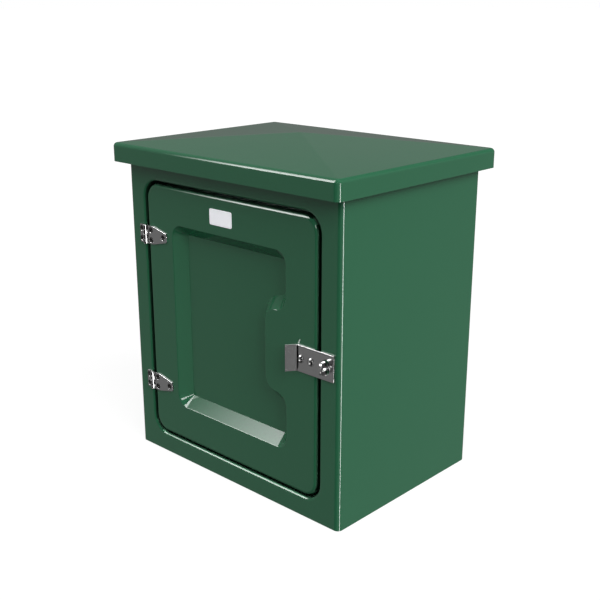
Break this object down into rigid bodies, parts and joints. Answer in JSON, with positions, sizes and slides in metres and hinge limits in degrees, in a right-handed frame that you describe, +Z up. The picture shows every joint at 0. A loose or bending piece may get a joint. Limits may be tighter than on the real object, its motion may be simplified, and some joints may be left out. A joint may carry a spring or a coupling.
{
  "type": "roadside utility cabinet",
  "caption": "Free-standing moulded plastic utility cabinet with an overhanging hipped roof, a hinged recessed door, strap hinges and a hasp that closes over a turning padlock eye.",
  "frame": {"origin": "middle of the base, on the surface that the cabinet stands on", "axes": "+Z up, the door faces -Y, +X is the latch side as seen from the front"},
  "size_m": [0.528, 0.405, 0.5955],
  "materials": {
    "gelcoat_green": "deep green glass-reinforced plastic with a very smooth glossy gelcoat outside and a duller laminate inside",
    "stainless": "fine satin stainless steel sheet with brighter cut edges",
    "black_steel": "black oxide fastener finish, slightly worn on the sockets' rims",
    "zinc_steel": "bright zinc-plated steel",
    "black_rubber": "matt black EPDM rubber",
    "plywood": "sealed birch plywood with a fine straight grain",
    "softwood": "planed softwood",
    "nylon": "black nylon",
    "label_white": "plain white laminated plate"
  },
  "bodies": {
    "cabinet": {"body_shell": "gelcoat_green", "roof_cap": "gelcoat_green", "roof_seal": "black_rubber", "roof_studs": "zinc_steel", "roof_washers": "zinc_steel", "roof_nuts": "zinc_steel", "door_seal": "black_rubber", "hinge_frame_screws": "black_steel", "hinge_frame_nuts": "stainless", "staple_bush": "nylon", "backboard": "plywood", "backboard_screws": "zinc_steel", "upper_hinge_frame_leaf": "stainless", "lower_hinge_frame_leaf": "stainless", "upper_hinge_pin": "stainless", "lower_hinge_pin": "stainless", "upper_hinge_frame_backing": "stainless", "lower_hinge_frame_backing": "stainless", "lower_batten": "softwood", "upper_batten": "softwood"},
    "door": {"door_panel": "gelcoat_green", "upper_hinge_door_leaf": "stainless", "lower_hinge_door_leaf": "stainless", "hinge_door_screws": "black_steel", "hinge_door_nuts": "stainless", "upper_hinge_door_backing": "stainless", "lower_hinge_door_backing": "stainless", "hasp_plate": "stainless", "hasp_bolts": "stainless", "hasp_washers": "stainless", "hasp_nuts": "stainless", "label_plate": "label_white"},
    "staple": {"staple_eye": "stainless", "staple_spindle": "stainless", "staple_washer": "stainless", "staple_nut": "stainless"}
  },
  "joints": [
    {"name": "door_hinge", "type": "hinge", "parent": "cabinet", "child": "door", "pos_m": [-0.2074, -0.181, 0.2753], "axis": [0, 0, -1], "range_deg": [0, 170]},
    {"name": "staple_swivel", "type": "hinge", "parent": "cabinet", "child": "staple", "pos_m": [0.2235, -0.1775, 0.2768], "axis": [0, -1, 0], "range_deg": [0, 90]}
  ]
}
